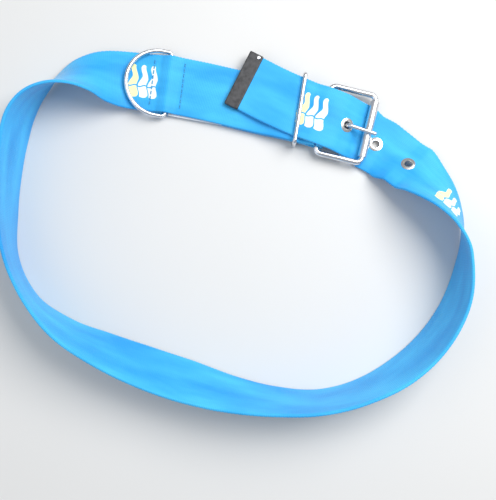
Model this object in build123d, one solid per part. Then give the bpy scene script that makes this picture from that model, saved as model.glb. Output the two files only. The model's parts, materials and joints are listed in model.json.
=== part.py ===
"""Dive weight belt: one length of nylon webbing, buckled into an open loop.

Working frame, in millimetres: +X runs along the buckle from the D-ring end towards the roller,
+Y points away from the loop's opening, +Z is up, and the middle of the buckle's inner bar is at
x = 0, y = 0. The last step moves every piece so that the origin is the bottom centre of the
whole belt.
"""
from build123d import *
import math
import os

# ---- webbing ---------------------------------------------------------------------------------
WEB_WIDTH = 48.0
WEB_THICKNESS = 2.8
LAYER_GAP = 0.5            # room between the two sewn layers, filled by the label and the thread
REST_GAP = 0.35            # room between the webbing and the metal that bears on it
ROLLER_GAP = 1.0           # more room below the roller, because the webbing crosses it askew
GROUND_GAP = 0.15          # room below the webbing where it runs under the roller
FIXED_END_Y = -0.5         # middle of the sewn end, across the buckle
UNDER_LAYER_END = -150.0   # where the turned-under end is cut off
SECTION_SPACING = 6.0      # greatest distance between the sections of its smooth curve, about

# ---- buckle ----------------------------------------------------------------------------------
FRAME_WIRE = 4.8
FRAME_SIDE_PLAY = 2.7      # webbing to wire, on each side
FRAME_BAR_SPACING = 38.5   # inner bar to outer bar
FRAME_CORNER_RADIUS = 4.6  # on the middle of the wire
RUNNING_FIT = 0.08         # radial play of the roller and the prong on their bars
ROLLER_WALL = 1.12
ROLLER_END_PLAY = 0.5
FOLD_PLAY = 0.3            # webbing fold to inner bar

# ---- prong -----------------------------------------------------------------------------------
PRONG_DIAMETER = 3.2
PRONG_EYE_WALL = 2.2
PRONG_EYE_WIDTH = 5.0
PRONG_SLOT_PLAY = 0.5
PRONG_SLOT_END = 1.0       # how far the slot runs past the fold
PRONG_SKEW = -4.5          # degrees, the prong follows the webbing and not the frame
PRONG_BEND_RADIUS = 2.4
PRONG_OVERHANG = 5.5       # how far the point reaches past the outer bar
PRONG_DROP = 0.8           # lowest stretch of the shank below the middle of the bar
PRONG_CRANK = (-3.6, 3.2)  # where the shank climbs, before and after the eyelet

# ---- eyelets ---------------------------------------------------------------------------------
EYELET_PLAY = 1.4          # bore to prong, all round
EYELET_WALL = 0.5
EYELET_FLANGE_REACH = 2.8  # bore to the flange's edge
EYELET_FLANGE_THICKNESS = 0.5
EYELET_SEAT_MARGIN = 0.7   # webbing pressed flat past the flange
EYELET_RIM = 1.0           # how far the barrel is rolled out over the washer
EYELET_RIM_THICKNESS = 0.3

# ---- keeper ----------------------------------------------------------------------------------
KEEPER_WIRE = 3.6
KEEPER_SIDE_PLAY = 3.3     # webbing to wire, on each side
KEEPER_CORNER_RADIUS = 2.4
KEEPER_X = -21.0
KEEPER_Y = 2.2
KEEPER_SKEW = 4.6          # degrees

# ---- D-ring ----------------------------------------------------------------------------------
RING_WIRE = 3.6
RING_SIDE_PLAY = 1.5       # webbing to wire, on each side
RING_STRAIGHT_SIDE = 8.0
RING_CORNER_RADIUS = 3.4
RING_BAR_X = -132.5
RING_BAR_Y = -2.6
RING_TURN = 7.0            # degrees, square to the webbing where it starts to curve
RING_REST_TILT = 13.0      # degrees, the arc lies up on the webbing
RING_POCKET_PLAY = 0.2

# ---- strap tip, label and thread -------------------------------------------------------------
TIP_LENGTH = 12.5
TIP_WALL = 0.8
TIP_RIVET_DIAMETER = 2.0
TIP_RIVET_HEAD = 3.2
TIP_RIVET_HEAD_HEIGHT = 0.7
TIP_RIVET_EDGE = 2.0       # rivet to the webbing's long edge
LABEL_LENGTH = 46.0
LABEL_DEPTH = 15.0
LABEL_SHOWING = 3.2        # most that the label shows past the webbing's edge
LABEL_MIDDLE_X = -104.5
LABEL_TURN = 3.5           # degrees
THREAD = 0.9
STITCH_LENGTH = 3.0
STITCH_PITCH = 4.4
STITCH_ROWS_FROM_BAR = (-13.5, 12.0)
STITCH_EDGE_MARGIN = 4.5
STITCH_DEPTH_LEFT = 0.5    # webbing left below the thread's lower turn

# ---- sizes that follow from those above --------------------------------------------------------
FRAME_INNER_WIDTH = WEB_WIDTH + 2 * FRAME_SIDE_PLAY
KEEPER_INNER_WIDTH = WEB_WIDTH + 2 * KEEPER_SIDE_PLAY
RING_INNER_WIDTH = WEB_WIDTH + 2 * RING_SIDE_PLAY
ROLLER_DIAMETER = FRAME_WIRE + 2 * (RUNNING_FIT + ROLLER_WALL)
EYELET_BORE = PRONG_DIAMETER + 2 * EYELET_PLAY
EYELET_FLANGE = EYELET_BORE + 2 * EYELET_FLANGE_REACH
EYELET_SEAT = EYELET_FLANGE + 2 * EYELET_SEAT_MARGIN

# ---- heights that follow -----------------------------------------------------------------------
HALF_WEB = WEB_THICKNESS / 2
UNDER_ROLLER = GROUND_GAP + HALF_WEB
BAR_HEIGHT = UNDER_ROLLER + HALF_WEB + ROLLER_GAP + ROLLER_DIAMETER / 2
LAYER_PITCH = WEB_THICKNESS + LAYER_GAP
FOLD_RADIUS = FRAME_WIRE / 2 + FOLD_PLAY + HALF_WEB
UNDER_FLAT = HALF_WEB
TOP_FLAT = UNDER_FLAT + LAYER_PITCH
UNDER_KEEPER = KEEPER_WIRE + REST_GAP + HALF_WEB
TOP_KEEPER = UNDER_KEEPER + LAYER_PITCH
FREE_LIFT = WEB_THICKNESS + REST_GAP
FREE_KEEPER = TOP_KEEPER + FREE_LIFT
KEEPER_TOP_WIRE = FREE_KEEPER + HALF_WEB + REST_GAP + KEEPER_WIRE / 2
FOLD_TOP = BAR_HEIGHT + FOLD_RADIUS
PAST_SLOT = -(FOLD_RADIUS + HALF_WEB + PRONG_SLOT_END + 0.5)
FOLD_BOTTOM = BAR_HEIGHT - FOLD_RADIUS
RING_BAR_HEIGHT = WEB_THICKNESS + RING_POCKET_PLAY + RING_WIRE / 2
TOP_OVER_RING = RING_BAR_HEIGHT + RING_WIRE / 2 + RING_POCKET_PLAY + HALF_WEB
FREE_TIP = TOP_FLAT + FREE_LIFT + TIP_WALL

# ---- the webbing's route -----------------------------------------------------------------------
# The part that hangs from the roller is measured from the roller, so it moves with the buckle's
# length. Each place is x, y, height of the middle, roll and heading. Roll is 0 where the webbing lies
# flat with its printed face up, 90 where it stands on its edge and more where it leans outwards.
# Heading is the way it runs, in degrees; None takes it from the places before and after. Its
# climb comes from those places too, unless a sixth value gives it in degrees.

def on_ground(x, y, lift, roll):
    """A place whose lower edge is lift above the ground."""
    turn = math.radians(roll)
    height = lift + WEB_WIDTH / 2 * abs(math.sin(turn)) + HALF_WEB * abs(math.cos(turn))
    return (x, y, height, roll, None)


def eyelet_seat(x, y, height, roll, heading, climb):
    """Three places in one plane, because an eyelet presses the webbing flat."""
    turn = math.radians(heading)
    rise = math.radians(climb)
    run = (math.cos(turn) * math.cos(rise), math.sin(turn) * math.cos(rise), math.sin(rise))
    return [
        (x + step * run[0], y + step * run[1], height + step * run[2], roll, heading, climb)
        for step in (-EYELET_SEAT / 2, 0, EYELET_SEAT / 2)]


TOP_LAYER = [
    (0.0, FIXED_END_Y, FOLD_TOP, 0, 180, 0),
    (-3.5, FIXED_END_Y, FOLD_TOP - 0.3, 0, 180),
    (PAST_SLOT, FIXED_END_Y, 0.6 * FOLD_TOP + 0.4 * TOP_KEEPER, 0, 180),
    (-11.0, FIXED_END_Y, TOP_KEEPER + 0.35, 0, 180),
    (-15.0, FIXED_END_Y, TOP_KEEPER, 0, 180),
    (-27.0, FIXED_END_Y, TOP_KEEPER, 0, 180),
    (-36.0, FIXED_END_Y, 0.2 * TOP_FLAT + 0.8 * TOP_KEEPER, 0, 180),
    (-45.0, FIXED_END_Y, 0.7 * TOP_FLAT + 0.3 * TOP_KEEPER, 0, 180),
    (-52.0, FIXED_END_Y, 0.92 * TOP_FLAT + 0.08 * TOP_KEEPER, 0, 180),
    (-60.0, FIXED_END_Y, TOP_FLAT, 0, 180),
    (-68.0, FIXED_END_Y, TOP_FLAT, 0, 180),
    (-80.0, FIXED_END_Y, TOP_FLAT, 0, 180),
    (-102.0, FIXED_END_Y - 0.3, TOP_FLAT, 0, 181),
    (-120.0, FIXED_END_Y - 1.0, TOP_FLAT, 0, 184),
    (-124.5, FIXED_END_Y - 1.3, TOP_FLAT + 0.3, 0, 185),
    (-128.5, FIXED_END_Y - 1.7, 0.4 * TOP_FLAT + 0.6 * TOP_OVER_RING, 0, 186),
    (RING_BAR_X, RING_BAR_Y, TOP_OVER_RING, 0, 180 + RING_TURN),
    (-136.5, FIXED_END_Y - 2.6, 0.4 * TOP_FLAT + 0.6 * TOP_OVER_RING, 0, 187),
    (-140.5, FIXED_END_Y - 3.0, TOP_FLAT + 0.3, 0, 187),
    (-145.0, FIXED_END_Y - 3.6, TOP_FLAT, 0, 188),
    (-152.0, FIXED_END_Y - 4.6, TOP_FLAT + 0.2, 1, 188),
]
ROLLER_X = FRAME_BAR_SPACING
LOOP = [
    on_ground(-167, -7.5, 4.0, 4),
    on_ground(-184, -10.5, 4.8, 18),
    on_ground(-199, -15, 4.6, 40),
    on_ground(-214, -23, 3.2, 61),
    on_ground(-227, -35, 1.5, 79),
    on_ground(-236, -50, 0.4, 91),
    on_ground(-239.5, -69, 0, 97),
    on_ground(-236.5, -103, 0, 95),
    on_ground(-229, -138, 0, 91),
    on_ground(-217, -172, 0, 86),
    on_ground(-194, -200, 0, 89),
    on_ground(-162, -218, 0, 104),
    on_ground(-128, -226.5, 0, 117),
    on_ground(-92, -232, 0, 125),
    on_ground(-56, -235, 0, 126),
    on_ground(-20, -236, 0, 118),
    on_ground(15, -233, 0, 110),
    on_ground(ROLLER_X + 11.5, -225, 0, 105),
    on_ground(ROLLER_X + 42.5, -208.5, 0, 105),
    on_ground(ROLLER_X + 69.5, -184, 0, 108),
    on_ground(ROLLER_X + 88.5, -154, 0, 106),
    on_ground(ROLLER_X + 98, -120, 0, 100),
    on_ground(ROLLER_X + 96, -84, 0.8, 86),
    on_ground(ROLLER_X + 89.5, -66, 2.2, 73),
    on_ground(ROLLER_X + 79.5, -52, 3.6, 60),
    on_ground(ROLLER_X + 66.5, -40, 4.4, 45),
    on_ground(ROLLER_X + 52.5, -30.5, 4.4, 29),
]
OVER_FOLD = FOLD_TOP + FREE_LIFT
FIRST_SEAT = eyelet_seat(
    ROLLER_X - 19.0, -1.5, 0.38 * UNDER_ROLLER + 0.62 * OVER_FOLD, 0, 173.5, 27)
SECOND_SEAT = eyelet_seat(ROLLER_X + 9.1, -9.6, UNDER_ROLLER + 0.9, 0, 163, -3.5)
THIRD_SEAT = eyelet_seat(*on_ground(ROLLER_X + 38.0, -21.6, 2.84, 15)[:4], 153, -22)
FREE_END = [
    *THIRD_SEAT,
    on_ground(ROLLER_X + 23.0, -15.4, 1.75, 4)[:4] + (157,),
    *SECOND_SEAT,
    (ROLLER_X - 1.5, -3.8, UNDER_ROLLER, 0, 170),
    (ROLLER_X - 5.0, -2.6, UNDER_ROLLER + 0.3, 0, 172),
    (ROLLER_X - 8.5, -2.3, UNDER_ROLLER + 1.75, 0, 172.5),
    *FIRST_SEAT,
    (6.0, -0.2, OVER_FOLD - 0.2, 0, 173),
    (0.0, 0.5, OVER_FOLD + 0.1, 0, 173),
    (-5.0, 1.1, 0.85 * OVER_FOLD + 0.15 * FREE_KEEPER + 0.2, 0, 172),
    (-10.0, 1.8, 0.4 * OVER_FOLD + 0.6 * FREE_KEEPER, 0, 172),
    (-15.0, 2.5, FREE_KEEPER, 0, 172),
    (-27.0, 4.4, FREE_KEEPER, 0, 171),
    (-40.0, 7.2, 0.5 * FREE_KEEPER + 0.5 * FREE_TIP, 0, 169),
    (-54.0, 10.6, FREE_TIP + 0.4, 0, 168),
    (-66.0, 13.7, FREE_TIP + 0.2, 0, 167.5),
    (-77.0, 16.3, FREE_TIP + 0.2, 0, 167.5),
]
UNDER_LAYER = [
    (0.0, FIXED_END_Y, FOLD_BOTTOM, 0, 180, 0),
    (-3.0, FIXED_END_Y, FOLD_BOTTOM + 0.3, 0, 180),
    (PAST_SLOT, FIXED_END_Y, 0.4 * FOLD_BOTTOM + 0.6 * UNDER_KEEPER, 0, 180),
    (-11.5, FIXED_END_Y, UNDER_KEEPER, 0, 180),
    (-27.0, FIXED_END_Y, UNDER_KEEPER, 0, 180),
    (-36.0, FIXED_END_Y, 0.2 * UNDER_FLAT + 0.8 * UNDER_KEEPER, 0, 180),
    (-45.0, FIXED_END_Y, 0.7 * UNDER_FLAT + 0.3 * UNDER_KEEPER, 0, 180),
    (-52.0, FIXED_END_Y, 0.92 * UNDER_FLAT + 0.08 * UNDER_KEEPER, 0, 180),
    (-60.0, FIXED_END_Y, UNDER_FLAT, 0, 180),
    (-68.0, FIXED_END_Y, UNDER_FLAT, 0, 180),
    (-80.0, FIXED_END_Y, UNDER_FLAT, 0, 180),
    (-102.0, FIXED_END_Y - 0.3, UNDER_FLAT, 0, 181),
    (-120.0, FIXED_END_Y - 1.0, UNDER_FLAT, 0, 184),
    (RING_BAR_X, RING_BAR_Y, UNDER_FLAT, 0, 180 + RING_TURN),
    (UNDER_LAYER_END, FIXED_END_Y - 4.3, UNDER_FLAT, 0, 188),
]


# ---- webbing geometry ----------------------------------------------------------------------------

def place_frames(route):
    """Middle point, direction across and direction along the webbing, for each place."""
    frames = []
    for index, (x, y, height, roll, heading, *climb) in enumerate(route):
        before = route[max(index - 1, 0)]
        after = route[min(index + 1, len(route) - 1)]
        run = Vector(after[0] - before[0], after[1] - before[1], after[2] - before[2])
        if heading is None:
            heading = math.degrees(math.atan2(run.Y, run.X))
        turn = math.radians(heading)
        rise = math.radians(climb[0]) if climb else math.atan2(run.Z, math.hypot(run.X, run.Y))
        along = Vector(
            math.cos(turn) * math.cos(rise), math.sin(turn) * math.cos(rise), math.sin(rise))
        left = Vector(-math.sin(turn), math.cos(turn), 0)
        up = along.cross(left)
        lean = math.radians(roll)
        frames.append((Vector(x, y, height), left * math.cos(lean) + up * math.sin(lean), along))
    return frames


def section_plane(middle, across, along):
    """The plane of the webbing's section: x across the webbing and y out of its printed face."""
    face_normal = along.cross(across)
    return Plane(origin=middle, x_dir=across, z_dir=across.cross(face_normal))


def smooth_sections(route):
    """Sections along a smooth curve through the places, close enough together to look smooth."""
    frames = place_frames(route)
    travelled = [0.0]
    for (before, _, _), (after, _, _) in zip(frames, frames[1:]):
        travelled.append(travelled[-1] + (after - before).length)

    def slope(index, item):
        low, high = max(index - 1, 0), min(index + 1, len(frames) - 1)
        return (frames[high][item] - frames[low][item]) * (1 / (travelled[high] - travelled[low]))

    planes = [section_plane(*frames[0])]
    for index in range(len(frames) - 1):
        span = travelled[index + 1] - travelled[index]
        steps = max(1, round(span / SECTION_SPACING))
        for step in range(1, steps):
            t = step / steps
            middle, across = [
                frames[index][item] * (2 * t**3 - 3 * t**2 + 1)
                + slope(index, item) * (span * (t**3 - 2 * t**2 + t))
                + frames[index + 1][item] * (3 * t**2 - 2 * t**3)
                + slope(index + 1, item) * (span * (t**3 - t**2))
                for item in (0, 1)]
            along = frames[index][2] * (1 - t) + frames[index + 1][2] * t
            across = (across - along * (across.dot(along) / along.dot(along))).normalized()
            planes.append(section_plane(middle, across, along.normalized()))
        planes.append(section_plane(*frames[index + 1]))
    return planes


def ribbon(route, width=WEB_WIDTH, thickness=WEB_THICKNESS):
    """Webbing with a rectangular section that follows a route."""
    return loft([plane * Rectangle(width, thickness) for plane in smooth_sections(route)], ruled=True)


def fold():
    """The webbing's turn round the buckle's inner bar."""
    outer = Cylinder(FOLD_RADIUS + HALF_WEB, WEB_WIDTH, rotation=(90, 0, 0))
    inner = Cylinder(FOLD_RADIUS - HALF_WEB, WEB_WIDTH, rotation=(90, 0, 0))
    half = Pos(FOLD_RADIUS + HALF_WEB, 0, 0) * Box(
        2 * (FOLD_RADIUS + HALF_WEB), 2 * WEB_WIDTH, 3 * FOLD_RADIUS)
    return Pos(0, FIXED_END_Y, BAR_HEIGHT) * ((outer - inner) & half)


def whole_loop():
    """The route from the top of the fold, round the waist and back to the free tip."""
    return TOP_LAYER + LOOP + FREE_END


def face_plane(frame):
    """x across the webbing to the loop's inside, y back along it, z out of its printed face."""
    middle, across, along = frame
    return Plane(origin=middle, x_dir=across, z_dir=along.cross(across))


def eyelet_plane(seat):
    return face_plane(place_frames(seat)[1])


def end_plane():
    return face_plane(place_frames(FREE_END)[-1])


def prong_slot():
    """A cut through the fold and both layers that leaves the free end above them whole."""
    reach = FOLD_RADIUS + HALF_WEB + PRONG_SLOT_END
    clear = HALF_WEB + REST_GAP / 2
    above = [(x, height + clear) for x, _, height, *_ in TOP_LAYER[:3]]
    below = [(x, height - clear) for x, _, height, *_ in UNDER_LAYER[:3]]
    outline = Polyline(
        (reach, above[0][1]), *above, *reversed(below), (reach, below[0][1]), close=True)
    width = PRONG_EYE_WIDTH + 2 * PRONG_SLOT_PLAY
    cut = extrude(make_face(Plane.XZ * outline), amount=width / 2, both=True)
    return cut & Pos(0, 0, BAR_HEIGHT) * Box(2 * reach, width, 4 * FOLD_RADIUS)


# ---- metal ---------------------------------------------------------------------------------------

def bent_wire(path, diameter):
    """Round wire along a path."""
    start = Plane(origin=path @ 0, z_dir=path % 0)
    return sweep(start * Circle(diameter / 2), path=path)


def buckle_frame():
    width = FRAME_INNER_WIDTH + FRAME_WIRE
    outline = RectangleRounded(FRAME_BAR_SPACING, width, FRAME_CORNER_RADIUS).wire()
    path = Pos(FRAME_BAR_SPACING / 2, 0, BAR_HEIGHT) * outline
    return bent_wire(path, FRAME_WIRE)


def straight_bar_length():
    return FRAME_INNER_WIDTH + FRAME_WIRE - 2 * FRAME_CORNER_RADIUS


def buckle_roller():
    length = straight_bar_length() - 2 * ROLLER_END_PLAY
    bore = FRAME_WIRE / 2 + RUNNING_FIT
    tube = Cylinder(ROLLER_DIAMETER / 2, length) - Cylinder(bore, length)
    rims = tube.edges().filter_by(GeomType.CIRCLE).filter_by(
        lambda edge: abs(edge.radius - ROLLER_DIAMETER / 2) < 0.001)
    tube = fillet(rims, 0.4)
    return Pos(FRAME_BAR_SPACING, 0, BAR_HEIGHT) * Rot(90, 0, 0) * tube


def prong_tip_height():
    return BAR_HEIGHT + ROLLER_DIAMETER / 2 + REST_GAP + PRONG_DIAMETER / 2


def buckle_prong():
    """A cast prong: an eye on the inner bar, a cranked shank and a round point on the roller."""
    eye_radius = FRAME_WIRE / 2 + RUNNING_FIT + PRONG_EYE_WALL
    eye = Cylinder(eye_radius, PRONG_EYE_WIDTH)
    shank_start = FRAME_WIRE / 2 + RUNNING_FIT + PRONG_DIAMETER / 2
    first_x = FIRST_SEAT[1][0]
    point_x = FRAME_BAR_SPACING + PRONG_OVERHANG
    path = FilletPolyline(
        (shank_start, 0, BAR_HEIGHT - 0.75 * PRONG_DROP),
        (first_x + PRONG_CRANK[0], 0, BAR_HEIGHT - PRONG_DROP),
        (first_x + PRONG_CRANK[1], 0, prong_tip_height()),
        (point_x, 0, prong_tip_height()),
        radius=PRONG_BEND_RADIUS)
    shank = bent_wire(path, PRONG_DIAMETER)
    shank += Pos(point_x, 0, prong_tip_height()) * Sphere(PRONG_DIAMETER / 2)
    shank = Rot(0, 0, PRONG_SKEW) * shank
    prong = Pos(0, 0, BAR_HEIGHT) * Rot(90, 0, 0) * eye + shank
    bore = Cylinder(FRAME_WIRE / 2 + RUNNING_FIT, 2 * PRONG_EYE_WIDTH)
    return prong - Pos(0, 0, BAR_HEIGHT) * Rot(90, 0, 0) * bore


def eyelet():
    """Barrel with its flange on the printed face and its end rolled out under the washer."""
    bore = EYELET_BORE / 2
    barrel = bore + EYELET_WALL
    top = HALF_WEB + EYELET_FLANGE_THICKNESS
    bottom = -HALF_WEB - EYELET_FLANGE_THICKNESS - EYELET_RIM_THICKNESS
    rim = barrel + EYELET_RIM
    outline = Polyline(
        (bore, bottom), (rim, bottom), (rim, bottom + EYELET_RIM_THICKNESS),
        (barrel, bottom + EYELET_RIM_THICKNESS), (barrel, HALF_WEB), (EYELET_FLANGE / 2, HALF_WEB),
        (EYELET_FLANGE / 2, HALF_WEB + 0.2), (bore + 1.2, top), (bore + 0.3, top), (bore, top - 0.3),
        close=True)
    return revolve(make_face(Plane.XZ * outline), Axis.Z)


def eyelet_washer():
    ring = Cylinder(EYELET_FLANGE / 2, EYELET_FLANGE_THICKNESS)
    ring -= Cylinder(EYELET_BORE / 2 + EYELET_WALL, EYELET_FLANGE_THICKNESS)
    return Pos(0, 0, -HALF_WEB - EYELET_FLANGE_THICKNESS / 2) * ring


def eyelet_hole():
    return Cylinder(EYELET_BORE / 2 + EYELET_WALL, 3 * WEB_THICKNESS)


def keeper():
    width = KEEPER_INNER_WIDTH + KEEPER_WIRE
    height = KEEPER_TOP_WIRE - KEEPER_WIRE / 2
    outline = (Plane.YZ * RectangleRounded(width, height, KEEPER_CORNER_RADIUS)).wire()
    path = Pos(KEEPER_X, KEEPER_Y, KEEPER_WIRE / 2 + height / 2) * Rot(0, 0, KEEPER_SKEW) * outline
    return bent_wire(path, KEEPER_WIRE)


def d_ring():
    """Straight bar, two short sides and a half round, in one welded wire."""
    half = (RING_INNER_WIDTH + RING_WIRE) / 2
    corner = RING_CORNER_RADIUS
    side = RING_STRAIGHT_SIDE
    bar = Line((0, half - corner), (0, corner - half))
    near_corner = RadiusArc((0, corner - half), (-corner, -half), corner)
    near_side = Line((-corner, -half), (-side, -half))
    bow = ThreePointArc((-side, -half), (-side - half, 0), (-side, half))
    far_side = Line((-side, half), (-corner, half))
    far_corner = RadiusArc((-corner, half), (0, half - corner), corner)
    outline = Wire([bar, near_corner, near_side, bow, far_side, far_corner])
    ring = bent_wire(outline, RING_WIRE)
    return ring_place() * Rot(0, RING_REST_TILT, 0) * ring


def ring_place():
    return Pos(RING_BAR_X, RING_BAR_Y, RING_BAR_HEIGHT) * Rot(0, 0, RING_TURN)


# ---- trim ------------------------------------------------------------------------------------------

def strap_tip():
    """A cap over the end of the webbing."""
    end = end_plane()
    cap = Box(WEB_WIDTH + 2 * TIP_WALL, TIP_LENGTH, WEB_THICKNESS + 2 * TIP_WALL)
    cap = fillet(cap.edges().filter_by(Axis.Z), 1.2)
    return end * Pos(0, TIP_LENGTH / 2 - TIP_WALL, 0) * cap


def rivet_place():
    """Where the tip's rivet stands: near the far long edge."""
    return end_plane() * Pos(TIP_RIVET_EDGE - WEB_WIDTH / 2, TIP_LENGTH * 0.65, 0)


def tip_rivet():
    half_tip = HALF_WEB + TIP_WALL
    shank = Cylinder(TIP_RIVET_DIAMETER / 2, 2 * half_tip)
    head = Cylinder(TIP_RIVET_HEAD / 2, TIP_RIVET_HEAD_HEIGHT)
    head = fillet(head.edges().group_by(Axis.Z)[-1], 0.5)
    return shank + Pos(0, 0, half_tip + TIP_RIVET_HEAD_HEIGHT / 2) * head


def label():
    """Blank label sewn between the two layers, with a strip showing past the near edge."""
    near_edge = FIXED_END_Y - WEB_WIDTH / 2 - LABEL_SHOWING
    sheet = Box(LABEL_LENGTH, LABEL_DEPTH, LAYER_GAP - 0.1)
    middle_y = near_edge + LABEL_DEPTH / 2 + LABEL_LENGTH / 2 * math.sin(math.radians(LABEL_TURN))
    middle_z = WEB_THICKNESS + LAYER_GAP / 2
    return Pos(LABEL_MIDDLE_X, middle_y, middle_z) * Rot(0, 0, LABEL_TURN) * sheet


def stitch_places():
    """Middles of the stitches, in rows across the webbing on both sides of the D-ring's bar."""
    places = []
    count = int((WEB_WIDTH - 2 * STITCH_EDGE_MARGIN) // STITCH_PITCH) + 1
    for offset in STITCH_ROWS_FROM_BAR:
        for index in range(count):
            across = (index - (count - 1) / 2) * STITCH_PITCH
            places.append(Pos(RING_BAR_X, RING_BAR_Y, 0) * Rot(0, 0, RING_TURN) * Pos(offset, across, 0))
    return places


def stitch():
    """One lock stitch: a bar of thread on the printed face and its leg through both layers."""
    top = TOP_FLAT + HALF_WEB
    leg = Pos(0, 0, (top + STITCH_DEPTH_LEFT) / 2) * Cylinder(THREAD / 2, top - STITCH_DEPTH_LEFT)
    bar = Pos(0, 0, top + THREAD / 4) * Box(THREAD, STITCH_LENGTH, THREAD)
    bar = fillet(bar.edges().filter_by(Axis.Y), THREAD * 0.3)
    return leg + bar


def belt_pieces():
    """Every piece by name, in the working frame."""
    webbing = ribbon(whole_loop()) + ribbon(UNDER_LAYER) + fold()
    webbing -= prong_slot()
    stitches = [place * stitch() for place in stitch_places()]
    webbing -= stitches
    pieces = {}
    for number, seat in enumerate((FIRST_SEAT, SECOND_SEAT, THIRD_SEAT), start=1):
        plane = eyelet_plane(seat)
        webbing -= plane * eyelet_hole()
        pieces["eyelet_%d" % number] = plane * eyelet()
        pieces["eyelet_washer_%d" % number] = plane * eyelet_washer()
    rivet = rivet_place() * tip_rivet()
    pieces["strap_tip"] = strap_tip() - webbing - rivet
    pieces["tip_rivet"] = rivet
    pieces["strap_webbing"] = webbing - rivet
    pieces["end_label"] = label() - stitches
    pieces["d_ring_stitching"] = Compound(children=stitches)
    pieces["buckle_frame"] = buckle_frame()
    pieces["buckle_roller"] = buckle_roller()
    pieces["buckle_prong"] = buckle_prong()
    pieces["keeper_loop"] = keeper()
    pieces["d_ring"] = d_ring()
    return pieces


def origin_shift(pieces):
    """The move that puts the origin at the bottom centre of the whole belt."""
    box = Compound(children=[Compound(piece.solids()) for piece in pieces.values()]).bounding_box()
    middle = box.center()
    return Vector(-middle.X, -middle.Y, -box.min.Z)


PIECES = belt_pieces()
SHIFT = origin_shift(PIECES)
os.makedirs("parts", exist_ok=True)
for name, piece in PIECES.items():
    export_step(Pos(SHIFT) * Compound(piece.solids()), "parts/" + name + ".step")
    print(name, len(piece.solids()), "solids,", round(piece.volume), "mm3")
print("origin moved by", SHIFT)
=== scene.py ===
"""Looks of the dive weight belt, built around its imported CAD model.

The webbing, its prints and the strap tip are modelled here. The metal pieces, the thread and the
label keep their CAD shape and get their finish. Everything is in metres, in the model's own frame.
"""
import json
import math
from bisect import bisect_right

import bmesh
import bpy
from bpy.props import FloatProperty, FloatVectorProperty, PointerProperty
from bpy.types import Operator, Panel, PropertyGroup
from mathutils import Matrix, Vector, noise


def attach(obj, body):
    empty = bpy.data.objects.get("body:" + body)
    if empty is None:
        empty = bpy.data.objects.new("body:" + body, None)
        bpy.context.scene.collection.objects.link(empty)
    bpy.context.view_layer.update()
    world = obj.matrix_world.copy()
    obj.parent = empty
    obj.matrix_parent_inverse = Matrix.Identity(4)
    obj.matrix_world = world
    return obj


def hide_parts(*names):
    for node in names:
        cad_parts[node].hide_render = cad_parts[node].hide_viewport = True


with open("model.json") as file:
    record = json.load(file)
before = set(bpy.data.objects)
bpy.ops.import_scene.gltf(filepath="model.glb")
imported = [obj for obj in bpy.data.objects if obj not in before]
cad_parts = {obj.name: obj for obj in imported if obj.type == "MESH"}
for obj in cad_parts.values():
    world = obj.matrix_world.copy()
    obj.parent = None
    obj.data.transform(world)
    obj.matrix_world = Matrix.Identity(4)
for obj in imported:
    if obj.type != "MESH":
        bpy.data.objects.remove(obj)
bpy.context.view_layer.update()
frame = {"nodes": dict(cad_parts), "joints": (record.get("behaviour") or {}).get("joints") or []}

bl_info = {
    "name": "Dive Weight Belt",
    "version": (1, 0, 0),
    "blender": (4, 5, 0),
    "location": "3D View > Sidebar > Weight Belt",
    "description": "Builds the webbing, hardware finishes and studio of a buckled dive weight belt",
    "category": "Object",
}

MM = 0.001

# ---- sizes shared with the CAD model, in millimetres ---------------------------------------------
WEB_WIDTH = 48.0
WEB_THICKNESS = 2.8
LAYER_GAP = 0.5
REST_GAP = 0.35
ROLLER_GAP = 1.0
GROUND_GAP = 0.15
FRAME_WIRE = 4.8
BAR_SPACING = 38.5
ROLLER_DIAMETER = 7.2
FOLD_PLAY = 0.3
KEEPER_WIRE = 3.6
RING_WIRE = 3.6
RING_POCKET_PLAY = 0.2
RING_BAR = (-132.5, -2.6)
RING_TURN = 7.0
TIP_LENGTH = 12.5
TIP_WALL = 0.8
FIXED_END_Y = -0.5
UNDER_LAYER_END = -150.0
PRONG_SLOT_WIDTH = 6.0
PRONG_SLOT_REACH = 6.5
EYELET_CUT_RADIUS = 4.4
EYELET_SEAT = 13.0

HALF_WEB = WEB_THICKNESS / 2
LAYER_PITCH = WEB_THICKNESS + LAYER_GAP
FOLD_RADIUS = FRAME_WIRE / 2 + FOLD_PLAY + HALF_WEB
UNDER_ROLLER = GROUND_GAP + HALF_WEB
BAR_HEIGHT = UNDER_ROLLER + HALF_WEB + ROLLER_GAP + ROLLER_DIAMETER / 2
UNDER_FLAT = HALF_WEB
TOP_FLAT = UNDER_FLAT + LAYER_PITCH
UNDER_KEEPER = KEEPER_WIRE + REST_GAP + HALF_WEB
TOP_KEEPER = UNDER_KEEPER + LAYER_PITCH
FREE_LIFT = WEB_THICKNESS + REST_GAP
FREE_KEEPER = TOP_KEEPER + FREE_LIFT
FOLD_TOP = BAR_HEIGHT + FOLD_RADIUS
FOLD_BOTTOM = BAR_HEIGHT - FOLD_RADIUS
OVER_FOLD = FOLD_TOP + FREE_LIFT
PAST_SLOT = -(PRONG_SLOT_REACH + 0.5)
TOP_OVER_RING = WEB_THICKNESS + 2 * RING_POCKET_PLAY + RING_WIRE + HALF_WEB
FREE_TIP = TOP_FLAT + FREE_LIFT + TIP_WALL


def joint_point(name):
    """Where a joint of the CAD model stands."""
    found = [joint for joint in frame["joints"] if joint["name"] == name]
    return Vector(found[0]["pos_m"])


# The route is measured from the ground point below the middle of the buckle's inner bar.
BUCKLE_POINT = joint_point("prong_lift") - Vector((0, 0, BAR_HEIGHT * MM))


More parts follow.
